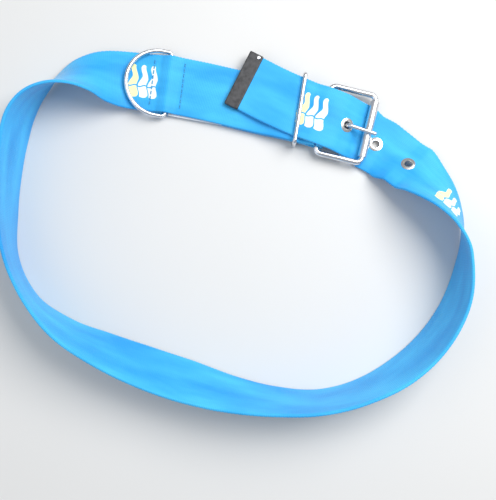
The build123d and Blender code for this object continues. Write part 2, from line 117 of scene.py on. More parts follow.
# ---- the webbing's route -------------------------------------------------------------------------
# Each place is x, y, height of the middle, roll and heading, in millimetres and degrees. Roll is 0
# where the webbing lies flat with its printed face up and 90 where it stands on its edge. Heading
# is the way it runs; None takes it from the places before and after. A sixth value is the climb.

def on_ground(x, y, lift, roll):
    """A place whose lower edge is lift above the ground."""
    turn = math.radians(roll)
    height = lift + WEB_WIDTH / 2 * abs(math.sin(turn)) + HALF_WEB * abs(math.cos(turn))
    return (x, y, height, roll, None)


def eyelet_seat(x, y, height, roll, heading, climb):
    """Three places in one plane, because an eyelet presses the webbing flat."""
    turn = math.radians(heading)
    rise = math.radians(climb)
    run = (math.cos(turn) * math.cos(rise), math.sin(turn) * math.cos(rise), math.sin(rise))
    return [
        (x + step * run[0], y + step * run[1], height + step * run[2], roll, heading, climb)
        for step in (-EYELET_SEAT / 2, 0, EYELET_SEAT / 2)]


UNDER_LAYER = [
    (0.0, FIXED_END_Y, FOLD_BOTTOM, 0, 180, 0),
    (-3.0, FIXED_END_Y, FOLD_BOTTOM + 0.3, 0, 180),
    (PAST_SLOT, FIXED_END_Y, 0.4 * FOLD_BOTTOM + 0.6 * UNDER_KEEPER, 0, 180),
    (-11.5, FIXED_END_Y, UNDER_KEEPER, 0, 180),
    (-27.0, FIXED_END_Y, UNDER_KEEPER, 0, 180),
    (-36.0, FIXED_END_Y, 0.2 * UNDER_FLAT + 0.8 * UNDER_KEEPER, 0, 180),
    (-45.0, FIXED_END_Y, 0.7 * UNDER_FLAT + 0.3 * UNDER_KEEPER, 0, 180),
    (-52.0, FIXED_END_Y, 0.92 * UNDER_FLAT + 0.08 * UNDER_KEEPER, 0, 180),
    (-60.0, FIXED_END_Y, UNDER_FLAT, 0, 180),
    (-68.0, FIXED_END_Y, UNDER_FLAT, 0, 180),
    (-80.0, FIXED_END_Y, UNDER_FLAT, 0, 180),
    (-102.0, FIXED_END_Y - 0.3, UNDER_FLAT, 0, 181),
    (-120.0, FIXED_END_Y - 1.0, UNDER_FLAT, 0, 184),
    (RING_BAR[0], RING_BAR[1], UNDER_FLAT, 0, 180 + RING_TURN),
    (UNDER_LAYER_END, FIXED_END_Y - 4.3, UNDER_FLAT, 0, 188),
]
TOP_LAYER = [
    (0.0, FIXED_END_Y, FOLD_TOP, 0, 180, 0),
    (-3.5, FIXED_END_Y, FOLD_TOP - 0.3, 0, 180),
    (PAST_SLOT, FIXED_END_Y, 0.6 * FOLD_TOP + 0.4 * TOP_KEEPER, 0, 180),
    (-11.0, FIXED_END_Y, TOP_KEEPER + 0.35, 0, 180),
    (-15.0, FIXED_END_Y, TOP_KEEPER, 0, 180),
    (-27.0, FIXED_END_Y, TOP_KEEPER, 0, 180),
    (-36.0, FIXED_END_Y, 0.2 * TOP_FLAT + 0.8 * TOP_KEEPER, 0, 180),
    (-45.0, FIXED_END_Y, 0.7 * TOP_FLAT + 0.3 * TOP_KEEPER, 0, 180),
    (-52.0, FIXED_END_Y, 0.92 * TOP_FLAT + 0.08 * TOP_KEEPER, 0, 180),
    (-60.0, FIXED_END_Y, TOP_FLAT, 0, 180),
    (-68.0, FIXED_END_Y, TOP_FLAT, 0, 180),
    (-80.0, FIXED_END_Y, TOP_FLAT, 0, 180),
    (-102.0, FIXED_END_Y - 0.3, TOP_FLAT, 0, 181),
    (-120.0, FIXED_END_Y - 1.0, TOP_FLAT, 0, 184),
    (-124.5, FIXED_END_Y - 1.3, TOP_FLAT + 0.3, 0, 185),
    (-128.5, FIXED_END_Y - 1.7, 0.4 * TOP_FLAT + 0.6 * TOP_OVER_RING, 0, 186),
    (RING_BAR[0], RING_BAR[1], TOP_OVER_RING, 0, 180 + RING_TURN),
    (-136.5, FIXED_END_Y - 2.6, 0.4 * TOP_FLAT + 0.6 * TOP_OVER_RING, 0, 187),
    (-140.5, FIXED_END_Y - 3.0, TOP_FLAT + 0.3, 0, 187),
    (-145.0, FIXED_END_Y - 3.6, TOP_FLAT, 0, 188),
    (-152.0, FIXED_END_Y - 4.6, TOP_FLAT + 0.2, 1, 188),
]
LOOP = [
    on_ground(-167, -7.5, 4.0, 4),
    on_ground(-184, -10.5, 4.8, 18),
    on_ground(-199, -15, 4.6, 40),
    on_ground(-214, -23, 3.2, 61),
    on_ground(-227, -35, 1.5, 79),
    on_ground(-236, -50, 0.4, 91),
    on_ground(-239.5, -69, 0, 97),
    on_ground(-236.5, -103, 0, 95),
    on_ground(-229, -138, 0, 91),
    on_ground(-217, -172, 0, 86),
    on_ground(-194, -200, 0, 89),
    on_ground(-162, -218, 0, 104),
    on_ground(-128, -226.5, 0, 117),
    on_ground(-92, -232, 0, 125),
    on_ground(-56, -235, 0, 126),
    on_ground(-20, -236, 0, 118),
    on_ground(15, -233, 0, 110),
    on_ground(BAR_SPACING + 11.5, -225, 0, 105),
    on_ground(BAR_SPACING + 42.5, -208.5, 0, 105),
    on_ground(BAR_SPACING + 69.5, -184, 0, 108),
    on_ground(BAR_SPACING + 88.5, -154, 0, 106),
    on_ground(BAR_SPACING + 98, -120, 0, 100),
    on_ground(BAR_SPACING + 96, -84, 0.8, 86),
    on_ground(BAR_SPACING + 89.5, -66, 2.2, 73),
    on_ground(BAR_SPACING + 79.5, -52, 3.6, 60),
    on_ground(BAR_SPACING + 66.5, -40, 4.4, 45),
    on_ground(BAR_SPACING + 52.5, -30.5, 4.4, 29),
]
THIRD_SEAT = eyelet_seat(*on_ground(BAR_SPACING + 38.0, -21.6, 2.84, 15)[:4], 153, -22)
SECOND_SEAT = eyelet_seat(BAR_SPACING + 9.1, -9.6, UNDER_ROLLER + 0.9, 0, 163, -3.5)
FIRST_SEAT = eyelet_seat(
    BAR_SPACING - 19.0, -1.5, 0.38 * UNDER_ROLLER + 0.62 * OVER_FOLD, 0, 173.5, 27)
FREE_END = [
    *THIRD_SEAT,
    on_ground(BAR_SPACING + 23.0, -15.4, 1.75, 4)[:4] + (157,),
    *SECOND_SEAT,
    (BAR_SPACING - 1.5, -3.8, UNDER_ROLLER, 0, 170),
    (BAR_SPACING - 5.0, -2.6, UNDER_ROLLER + 0.3, 0, 172),
    (BAR_SPACING - 8.5, -2.3, UNDER_ROLLER + 1.75, 0, 172.5),
    *FIRST_SEAT,
    (6.0, -0.2, OVER_FOLD - 0.2, 0, 173),
    (0.0, 0.5, OVER_FOLD + 0.1, 0, 173),
    (-5.0, 1.1, 0.85 * OVER_FOLD + 0.15 * FREE_KEEPER + 0.2, 0, 172),
    (-10.0, 1.8, 0.4 * OVER_FOLD + 0.6 * FREE_KEEPER, 0, 172),
    (-15.0, 2.5, FREE_KEEPER, 0, 172),
    (-27.0, 4.4, FREE_KEEPER, 0, 171),
    (-40.0, 7.2, 0.5 * FREE_KEEPER + 0.5 * FREE_TIP, 0, 169),
    (-54.0, 10.6, FREE_TIP + 0.4, 0, 168),
    (-66.0, 13.7, FREE_TIP + 0.2, 0, 167.5),
    (-77.0, 16.3, FREE_TIP + 0.2, 0, 167.5),
]


def place_frames(places):
    """Middle point, direction across and direction along the webbing, for each place."""
    frames = []
    for index, (x, y, height, roll, heading, *climb) in enumerate(places):
        before = places[max(index - 1, 0)]
        after = places[min(index + 1, len(places) - 1)]
        run = Vector(after[:3]) - Vector(before[:3])
        if heading is None:
            heading = math.degrees(math.atan2(run.y, run.x))
        turn = math.radians(heading)
        rise = math.radians(climb[0]) if climb else math.atan2(run.z, math.hypot(run.x, run.y))
        along = Vector(
            (math.cos(turn) * math.cos(rise), math.sin(turn) * math.cos(rise), math.sin(rise)))
        left = Vector((-math.sin(turn), math.cos(turn), 0))
        lean = math.radians(roll)
        across = left * math.cos(lean) + along.cross(left) * math.sin(lean)
        frames.append((BUCKLE_POINT + Vector((x, y, height)) * MM, across, along))
    return frames


def fold_frames(steps=8):
    """The half turn of the webbing round the buckle's inner bar, from below to above."""
    across = Vector((0, -1, 0))
    middle = BUCKLE_POINT + Vector((0, FIXED_END_Y, BAR_HEIGHT)) * MM
    frames = []
    for step in range(steps + 1):
        angle = math.pi * (step / steps - 0.5)
        out = Vector((math.cos(angle), 0, math.sin(angle)))
        frames.append((middle + out * FOLD_RADIUS * MM, across, across.cross(out) * -1))
    return frames


class Route:
    """The smooth line that a length of webbing follows, with its directions across and out."""

    def __init__(self, frames):
        self.frames = frames
        self.stations = [0.0]
        for (before, _, _), (after, _, _) in zip(frames, frames[1:]):
            self.stations.append(self.stations[-1] + (after - before).length)
        self.length = self.stations[-1]

    def slope(self, index, item):
        low, high = max(index - 1, 0), min(index + 1, len(self.frames) - 1)
        change = self.frames[high][item] - self.frames[low][item]
        return change / (self.stations[high] - self.stations[low])

    def at(self, station):
        """Middle, direction across and direction out of the printed face at a station."""
        index = bisect_right(self.stations, station) - 1
        index = min(max(index, 0), len(self.frames) - 2)
        span = self.stations[index + 1] - self.stations[index]
        t = (station - self.stations[index]) / span
        middle, across = [
            self.frames[index][item] * (2 * t**3 - 3 * t**2 + 1)
            + self.slope(index, item) * (span * (t**3 - 2 * t**2 + t))
            + self.frames[index + 1][item] * (3 * t**2 - 2 * t**3)
            + self.slope(index + 1, item) * (span * (t**3 - t**2))
            for item in (0, 1)]
        along = self.frames[index][2].lerp(self.frames[index + 1][2], t).normalized()
        across = (across - along * across.dot(along)).normalized()
        return middle, across, along.cross(across)

    def nearest(self, point, step=0.001):
        """The station whose middle is nearest to a point."""
        count = round(self.length / step)
        return min(
            (self.length * index / count for index in range(count + 1)),
            key=lambda station: (self.at(station)[0] - point).length)


def whole_route():
    """From the turned-under end, round the bar, under the D-ring and round the waist to the tip."""
    under = [(middle, across, -along) for middle, across, along in place_frames(UNDER_LAYER)]
    waist = place_frames(TOP_LAYER + LOOP + FREE_END)
    return Route(under[:0:-1] + fold_frames() + waist[1:])


ROUTE = whole_route()
FOLD_STATION = ROUTE.stations[len(UNDER_LAYER) - 1]
FOLD_LENGTH = math.pi * FOLD_RADIUS * MM


def at_place(place):
    """A point of the route's own coordinates, in the model's frame."""
    return BUCKLE_POINT + Vector(place[:3]) * MM


# ---- settings ------------------------------------------------------------------------------------

class BELT_PG_webbing(PropertyGroup):
    column: FloatProperty(
        name="Column spacing", description="Length of one column of faces along the webbing",
        default=0.0009, min=0.0004, unit="LENGTH")
    picot_pitch: FloatProperty(
        name="Edge loop pitch", description="Distance between the small loops along each edge",
        default=0.0027, unit="LENGTH")
    picot_depth: FloatProperty(
        name="Edge loop depth", description="How far the edge loops stand out",
        default=0.00045, unit="LENGTH")
    ripple: FloatProperty(
        name="Ripple", description="Height of the gentle waves that handling leaves",
        default=0.00012, unit="LENGTH")
    colour: FloatVectorProperty(
        name="Colour", description="Dyed nylon", subtype="COLOR", size=3,
        default=(0.016, 0.345, 0.800), min=0.0, max=1.0)
    faded_colour: FloatVectorProperty(
        name="Faded colour", description="Nylon bleached by sun and salt", subtype="COLOR", size=3,
        default=(0.060, 0.520, 0.930), min=0.0, max=1.0)


class BELT_PG_prints(PropertyGroup):
    bar_width: FloatProperty(
        name="Bar width", description="Width of one printed bar along the webbing",
        default=0.0070, unit="LENGTH")
    bar_pitch: FloatProperty(
        name="Bar pitch", description="Distance between the bars", default=0.0082, unit="LENGTH")
    bar_height: FloatProperty(
        name="Bar height", description="Length of a bar across the webbing",
        default=0.0280, unit="LENGTH")
    wave: FloatProperty(
        name="Wave", description="Sideways sway of each bar", default=0.0010, unit="LENGTH")
    ink: FloatProperty(
        name="Ink thickness", description="How far the ink stands on the cloth",
        default=0.00012, unit="LENGTH")
    white: FloatVectorProperty(
        name="White ink", description="Colour of the plain bars", subtype="COLOR", size=3,
        default=(0.86, 0.90, 0.84), min=0.0, max=1.0)
    yellow: FloatVectorProperty(
        name="Pale yellow ink", description="Colour of the first bar", subtype="COLOR", size=3,
        default=(0.90, 0.88, 0.45), min=0.0, max=1.0)


class BELT_PG_tip(PropertyGroup):
    roundness: FloatProperty(
        name="Roundness", description="Radius of the cap's edges", default=0.0011, unit="LENGTH")
    crease: FloatProperty(
        name="Creases", description="Depth of the shrunk-on creases", default=0.00028,
        unit="LENGTH")
    colour: FloatVectorProperty(
        name="Colour", description="Black heat-shrunk rubber", subtype="COLOR", size=3,
        default=(0.028, 0.028, 0.030), min=0.0, max=1.0)


class BELT_PG_metal(PropertyGroup):
    steel: FloatVectorProperty(
        name="Steel", description="Polished stainless wire", subtype="COLOR", size=3,
        default=(0.78, 0.78, 0.80), min=0.0, max=1.0)
    nickel: FloatVectorProperty(
        name="Eyelet nickel", description="Plated eyelets and washers", subtype="COLOR", size=3,
        default=(0.82, 0.80, 0.77), min=0.0, max=1.0)


class BELT_PG_stage(PropertyGroup):
    floor_size: FloatProperty(
        name="Floor size", description="Side of the pale floor", default=6.0, unit="LENGTH")
    floor_colour: FloatVectorProperty(
        name="Floor", description="Plain pale floor", subtype="COLOR", size=3,
        default=(0.70, 0.70, 0.69), min=0.0, max=1.0)
    lens: FloatProperty(
        name="Lens", description="Focal length on a 36 mm wide sensor", default=52.0)
    key_power: FloatProperty(
        name="Key light", description="Power of the large soft light, in watts", default=13.0)
    fill_power: FloatProperty(
        name="Fill light", description="Power of the light from the other side, in watts",
        default=3.5)
    sky: FloatProperty(
        name="Room light", description="Strength of the even light from all round", default=0.42)


# ---- node helpers --------------------------------------------------------------------------------

def link_or_set(tree, value, socket):
    if isinstance(value, bpy.types.NodeSocket):
        tree.links.new(value, socket)
    else:
        socket.default_value = value


def calc(tree, operation, *values, clamp=False):
    """One Math node."""
    node = tree.nodes.new("ShaderNodeMath")
    node.operation = operation
    node.use_clamp = clamp
    for value, socket in zip(values, node.inputs):
        link_or_set(tree, value, socket)
    return node.outputs[0]


def noise_at(tree, vector, scale, detail=3.0, roughness=0.5):
    """One Noise texture, as a value around a half."""
    node = tree.nodes.new("ShaderNodeTexNoise")
    tree.links.new(vector, node.inputs["Vector"])
    link_or_set(tree, scale, node.inputs["Scale"])
    node.inputs["Detail"].default_value = detail
    node.inputs["Roughness"].default_value = roughness
    return node.outputs["Fac"]


def remap(tree, value, low, high, to_low=0.0, to_high=1.0):
    """A value taken from one range to another and kept inside it."""
    node = tree.nodes.new("ShaderNodeMapRange")
    for item, socket in zip((value, low, high, to_low, to_high), node.inputs):
        link_or_set(tree, item, socket)
    return node.outputs["Result"]


def mix_colour(tree, factor, first, second):
    node = tree.nodes.new("ShaderNodeMix")
    node.data_type = "RGBA"
    link_or_set(tree, factor, node.inputs["Factor"])
    for value, label in ((first, "A"), (second, "B")):
        socket = [s for s in node.inputs if s.name == label and s.type == "RGBA"][0]
        link_or_set(tree, opaque(value), socket)
    return [s for s in node.outputs if s.type == "RGBA"][0]


def opaque(colour):
    """A colour setting as the four numbers that a colour socket takes."""
    if isinstance(colour, bpy.types.NodeSocket):
        return colour
    return (*colour[:3], 1.0)


def bump(tree, height, strength, distance):
    node = tree.nodes.new("ShaderNodeBump")
    node.inputs["Strength"].default_value = strength
    node.inputs["Distance"].default_value = distance
    tree.links.new(height, node.inputs["Height"])
    return node.outputs["Normal"]


def stretched(tree, vector, scale):
    """Coordinates scaled apart along each axis."""
    node = tree.nodes.new("ShaderNodeMapping")
    node.inputs["Scale"].default_value = scale
    tree.links.new(vector, node.inputs["Vector"])
    return node.outputs["Vector"]


def new_group(name, inputs, outputs):
    """An empty shader node group with its sockets, its start and its end."""
    group = bpy.data.node_groups.new(name, "ShaderNodeTree")
    for label, kind, value in inputs:
        socket = group.interface.new_socket(label, in_out="INPUT", socket_type=kind)
        if value is not None:
            socket.default_value = value
    for label in outputs:
        group.interface.new_socket(label, in_out="OUTPUT", socket_type="NodeSocketFloat")
    start = group.nodes.new("NodeGroupInput")
    end = group.nodes.new("NodeGroupOutput")
    return group, start, end


def use_group(tree, group, vector, **values):
    """A group placed in a material, with its coordinates and its own values."""
    node = tree.nodes.new("ShaderNodeGroup")
    node.node_tree = group
    tree.links.new(vector, node.inputs["Vector"])
    for label, value in values.items():
        node.inputs[label.replace("_", " ").capitalize()].default_value = value
    return node


def weave_group():
    """Plain weave on the cloth's own length and width, with slubs, handling marks and a valley mask
    that the materials use for painted shade.
    """
    name = "woven cloth"
    if name in bpy.data.node_groups:
        return bpy.data.node_groups[name]
    group, start, end = new_group(
        name,
        [("Vector", "NodeSocketVector", None), ("Pick spacing", "NodeSocketFloat", 0.0013),
         ("End spacing", "NodeSocketFloat", 0.0011), ("Slub", "NodeSocketFloat", 0.35)],
        ["Height", "Valley", "Fade", "Grime"])
    split = group.nodes.new("ShaderNodeSeparateXYZ")
    group.links.new(start.outputs["Vector"], split.inputs[0])
    drift = noise_at(group, start.outputs["Vector"], 160.0, 2.0)
    wander = calc(group, "MULTIPLY", calc(group, "SUBTRACT", drift, 0.5), start.outputs["Slub"])
    picks = calc(group, "DIVIDE", split.outputs["X"], start.outputs["Pick spacing"])
    picks = calc(group, "ADD", picks, wander)
    ends = calc(group, "DIVIDE", split.outputs["Y"], start.outputs["End spacing"])
    ends = calc(group, "ADD", ends, wander)
    pick_wave = calc(group, "COSINE", calc(group, "MULTIPLY", picks, math.tau))
    end_wave = calc(group, "COSINE", calc(group, "MULTIPLY", ends, math.tau))
    crossing = calc(group, "MULTIPLY", pick_wave, end_wave)
    rib = calc(group, "MULTIPLY_ADD", pick_wave, 0.22, 0.5)
    height = calc(group, "MULTIPLY_ADD", crossing, 0.28, rib)
    fuzz = noise_at(group, start.outputs["Vector"], 2600.0, 2.0)
    rough_height = calc(group, "MULTIPLY_ADD", calc(group, "SUBTRACT", fuzz, 0.5), 0.25, height)
    group.links.new(rough_height, end.inputs["Height"])
    # Valley is high in the weave's low places. The webbing and the label darken there as painted
    # shade, and the ink also wears through more there.
    group.links.new(remap(group, height, 0.45, 0.05), end.inputs["Valley"])
    along = stretched(group, start.outputs["Vector"], (14.0, 60.0, 1.0))
    group.links.new(remap(group, noise_at(group, along, 1.0, 4.0), 0.35, 0.68), end.inputs["Fade"])
    spots = noise_at(group, start.outputs["Vector"], 55.0, 6.0, 0.65)
    group.links.new(remap(group, spots, 0.60, 0.78), end.inputs["Grime"])
    return group


def handling_group():
    """Finger smudges, fine scratches and pits that metal and moulded parts pick up."""
    name = "handling marks"
    if name in bpy.data.node_groups:
        return bpy.data.node_groups[name]
    group, start, end = new_group(
        name,
        [("Vector", "NodeSocketVector", None), ("Scratch scale", "NodeSocketFloat", 900.0),
         ("Smudge scale", "NodeSocketFloat", 90.0)],
        ["Smudge", "Height"])
    smudge = noise_at(group, start.outputs["Vector"], start.outputs["Smudge scale"], 5.0, 0.6)
    group.links.new(remap(group, smudge, 0.38, 0.70), end.inputs["Smudge"])
    drawn = stretched(group, start.outputs["Vector"], (1.0, 0.12, 1.0))
    lines = noise_at(group, drawn, start.outputs["Scratch scale"], 4.0, 0.7)
    scratch = remap(group, lines, 0.60, 0.72)
    pits = noise_at(group, start.outputs["Vector"], 1800.0, 2.0)
    height = calc(group, "SUBTRACT", calc(group, "MULTIPLY", pits, 0.35), scratch)
    group.links.new(height, end.inputs["Height"])
    return group


# ---- materials -----------------------------------------------------------------------------------

def new_material(name):
    """A node material with its tree and its shader."""
    material = bpy.data.materials.new(name)
    material.use_nodes = True
    tree = material.node_tree
    return material, tree, tree.nodes["Principled BSDF"]


def cloth_coordinates(tree):
    node = tree.nodes.new("ShaderNodeUVMap")
    node.uv_map = "cloth"
    return node.outputs["UV"]


def object_coordinates(tree):
    return tree.nodes.new("ShaderNodeTexCoord").outputs["Object"]


def webbing_material(settings):
    """Dyed nylon webbing: ribbed weave with painted shade in its valleys, sun-faded stretches and a
    little grime.
    """
    material, tree, shader = new_material("blue_nylon_webbing")
    weave = use_group(
        tree, weave_group(), cloth_coordinates(tree), pick_spacing=0.00135, end_spacing=0.0012)
    dyed = mix_colour(tree, weave.outputs["Fade"], settings.colour, settings.faded_colour)
    # Painted shade: the weave's valleys are darkened towards 0.45 of the dyed colour.
    valley_shade = calc(tree, "MULTIPLY", weave.outputs["Valley"], 0.35)
    valley_shade_colour = [part * 0.45 for part in settings.colour]
    woven = mix_colour(tree, valley_shade, dyed, valley_shade_colour)
    dirty = mix_colour(
        tree, calc(tree, "MULTIPLY", weave.outputs["Grime"], 0.10), woven, (0.10, 0.13, 0.15))
    tree.links.new(dirty, shader.inputs["Base Color"])
    rough = remap(tree, weave.outputs["Fade"], 0.0, 1.0, 0.52, 0.66)
    tree.links.new(rough, shader.inputs["Roughness"])
    shader.inputs["Sheen Weight"].default_value = 0.25
    shader.inputs["Sheen Roughness"].default_value = 0.4
    shader.inputs["Specular IOR Level"].default_value = 0.35
    normal = bump(tree, weave.outputs["Height"], 0.55, 0.00030)
    tree.links.new(normal, shader.inputs["Normal"])
    return material


def ink_material(name, colour, cloth):
    """Screen-printed ink, cracked over the weave so that a little cloth shows through."""
    material, tree, shader = new_material(name)
    uv = cloth_coordinates(tree)
    weave = use_group(tree, weave_group(), uv, pick_spacing=0.00135, end_spacing=0.0012)
    cracks = noise_at(tree, uv, 420.0, 6.0, 0.7)
    worn = remap(tree, cracks, 0.60, 0.70)
    in_valleys = calc(tree, "MULTIPLY_ADD", weave.outputs["Valley"], 0.6, 0.5)
    worn = calc(tree, "MULTIPLY", worn, in_valleys)
    shown = mix_colour(tree, calc(tree, "MINIMUM", worn, 0.8), colour, cloth)
    tree.links.new(shown, shader.inputs["Base Color"])
    rough = remap(tree, cracks, 0.3, 0.7, 0.38, 0.6)
    tree.links.new(rough, shader.inputs["Roughness"])
    normal = bump(tree, weave.outputs["Height"], 0.35, 0.00025)
    tree.links.new(normal, shader.inputs["Normal"])
    return material


def metal_material(name, colour, roughness, worn_roughness, dull=0.35):
    """Polished metal with smudges and fine scratches."""
    material, tree, shader = new_material(name)
    marks = use_group(tree, handling_group(), object_coordinates(tree))
    darker = [part * (1 - dull) for part in colour]
    factor = calc(tree, "MULTIPLY", marks.outputs["Smudge"], 0.5)
    tree.links.new(mix_colour(tree, factor, colour, darker), shader.inputs["Base Color"])
    shader.inputs["Metallic"].default_value = 1.0
    rough = remap(tree, marks.outputs["Smudge"], 0.0, 1.0, roughness, worn_roughness)
    tree.links.new(rough, shader.inputs["Roughness"])
    normal = bump(tree, marks.outputs["Height"], 0.25, 0.00004)
    tree.links.new(normal, shader.inputs["Normal"])
    return material


def rubber_material(settings):
    """Black heat-shrunk rubber, scuffed grey on its high spots."""
    material, tree, shader = new_material("black_shrunk_rubber")
    place = object_coordinates(tree)
    marks = use_group(
        tree, handling_group(), place, smudge_scale=240.0, scratch_scale=700.0)
    scuffed = [part * 3.2 + 0.03 for part in settings.colour]
    factor = calc(tree, "MULTIPLY", marks.outputs["Smudge"], 0.55)
    tree.links.new(
        mix_colour(tree, factor, settings.colour, scuffed), shader.inputs["Base Color"])
    rough = remap(tree, marks.outputs["Smudge"], 0.0, 1.0, 0.42, 0.68)
    tree.links.new(rough, shader.inputs["Roughness"])
    grain = noise_at(tree, place, 1500.0, 3.0)
    folds = noise_at(tree, place, 260.0, 3.0)
    height = calc(tree, "MULTIPLY_ADD", folds, 2.0, grain)
    tree.links.new(bump(tree, height, 0.5, 0.00012), shader.inputs["Normal"])
    return material


def thread_material(settings):
    """Bonded polyester thread, twisted from three plies, with painted shade in the grooves between
    them.
    """
    material, tree, shader = new_material("bonded_thread")
    place = object_coordinates(tree)
    twist = tree.nodes.new("ShaderNodeTexWave")
    twist.bands_direction = "DIAGONAL"
    twist.inputs["Scale"].default_value = 420.0
    twist.inputs["Distortion"].default_value = 0.6
    tree.links.new(place, twist.inputs["Vector"])
    # Painted shade: the low bands of the twist, the grooves between the plies, are darkened to 0.45
    # of the dyed colour.
    light = [min(part * 0.75 + 0.01, 1.0) for part in settings.faded_colour]
    groove_shade = [part * 0.45 for part in settings.colour]
    tree.links.new(mix_colour(tree, twist.outputs["Fac"], groove_shade, light), shader.inputs["Base Color"])
    rough = remap(tree, noise_at(tree, place, 800.0), 0.3, 0.7, 0.45, 0.65)
    tree.links.new(rough, shader.inputs["Roughness"])
    tree.links.new(bump(tree, twist.outputs["Fac"], 0.6, 0.00012), shader.inputs["Normal"])
    return material


def label_material():
    """Off-white woven tape of the blank label, with painted shade in the weave's valleys."""
    material, tree, shader = new_material("white_label_tape")
    place = object_coordinates(tree)
    weave = use_group(
        tree, weave_group(), place, pick_spacing=0.0007, end_spacing=0.0006, slub=0.15)
    # Painted shade: the weave's valleys are darkened towards a grey. The stained colour is real
    # dirt.
    clean, shaded, stained = (0.82, 0.83, 0.82), (0.55, 0.57, 0.60), (0.50, 0.47, 0.40)
    woven = mix_colour(tree, calc(tree, "MULTIPLY", weave.outputs["Valley"], 0.4), clean, shaded)
    dirty = mix_colour(tree, calc(tree, "MULTIPLY", weave.outputs["Grime"], 0.5), woven, stained)
    tree.links.new(dirty, shader.inputs["Base Color"])
    rough = remap(tree, weave.outputs["Fade"], 0.0, 1.0, 0.5, 0.7)
    tree.links.new(rough, shader.inputs["Roughness"])
    tree.links.new(bump(tree, weave.outputs["Height"], 0.5, 0.00012), shader.inputs["Normal"])
    return material


def floor_material(colour):
    """Plain pale floor with the faintest mottle."""
    material, tree, shader = new_material("pale_floor")
    mottle = noise_at(tree, object_coordinates(tree), 6.0, 4.0)
    darker = [part * 0.97 for part in colour]
    tree.links.new(mix_colour(tree, mottle, colour, darker), shader.inputs["Base Color"])
    shader.inputs["Roughness"].default_value = 0.75
    return material


# ---- shared making -------------------------------------------------------------------------------

def new_object(name, bm, materials, smooth_angle=50.0):
    """A finished piece from its bmesh, smooth except at sharp edges."""
    bmesh.ops.remove_doubles(bm, verts=bm.verts, dist=1e-7)
    bmesh.ops.recalc_face_normals(bm, faces=bm.faces)
    mesh = bpy.data.meshes.new(name)
    bm.to_mesh(mesh)
    bm.free()
    mesh.polygons.foreach_set("use_smooth", [True] * len(mesh.polygons))
    mesh.set_sharp_from_angle(angle=math.radians(smooth_angle))
    for material in materials:
        mesh.materials.append(material)
    piece = bpy.data.objects.new(name, mesh)
    bpy.context.scene.collection.objects.link(piece)
    return piece


def finish_node(name, material):
    """Gives a CAD node its material."""
    slots = frame["nodes"][name].data.materials
    slots.clear()
    slots.append(material)


def lay_on_route(bm):
    """Bends a flat shape, in station, width and height out of the cloth, onto the route."""
    known = {}
    for vert in bm.verts:
        station, width, height = vert.co
        key = round(station, 7)
        if key not in known:
            known[key] = ROUTE.at(station)
        middle, across, out = known[key]
        vert.co = middle + across * width + out * height


def mark_cloth(bm):
    """Stores station and width as the piece's own coordinates."""
    layer = bm.loops.layers.uv.new("cloth")
    for face in bm.faces:
        for loop in face.loops:
            loop[layer].uv = loop.vert.co.xy


# ---- webbing -------------------------------------------------------------------------------------

# Rows across the webbing, in millimetres, and how thick it is there. They are close together at
# the rolled edges and at the prong's slot.
INNER_ROWS = (-3.5, -1.5, 0.5, 2.5)
OUTER_ROWS = (5.0, 7.0, 9.5, 12.5, 15.5, 18.5, 20.8)
EDGE_ROWS = ((22.3, 1.0), (23.2, 0.93), (23.7, 0.76), (24.0, 0.40))
# Rows thinner than this share carry the edge loops.
LOOPED_SHARE = 0.9
# Distance over which the ripples grow from nothing, in metres.
RIPPLE_EASE = 0.03


def webbing_rows():
    """(place across, share of the thickness) from one edge to the other."""
    side = [(width, 1.0) for width in OUTER_ROWS] + list(EDGE_ROWS)
    middle = [(width, 1.0) for width in INNER_ROWS]
    return [(-width, share) for width, share in reversed(side)] + middle + side


def eyelet_stations():
    return [ROUTE.nearest(at_place(seat[1])) for seat in (FIRST_SEAT, SECOND_SEAT, THIRD_SEAT)]


def is_cut(station, width, holes):
    """True inside an eyelet's hole or the prong's slot."""
    if any(math.hypot(station - hole, width) < EYELET_CUT_RADIUS * MM for hole in holes):
        return True
    reach = PRONG_SLOT_REACH * MM
    in_fold = FOLD_STATION - reach < station < FOLD_STATION + FOLD_LENGTH + reach
    return in_fold and abs(width - FIXED_END_Y * MM) < PRONG_SLOT_WIDTH / 2 * MM


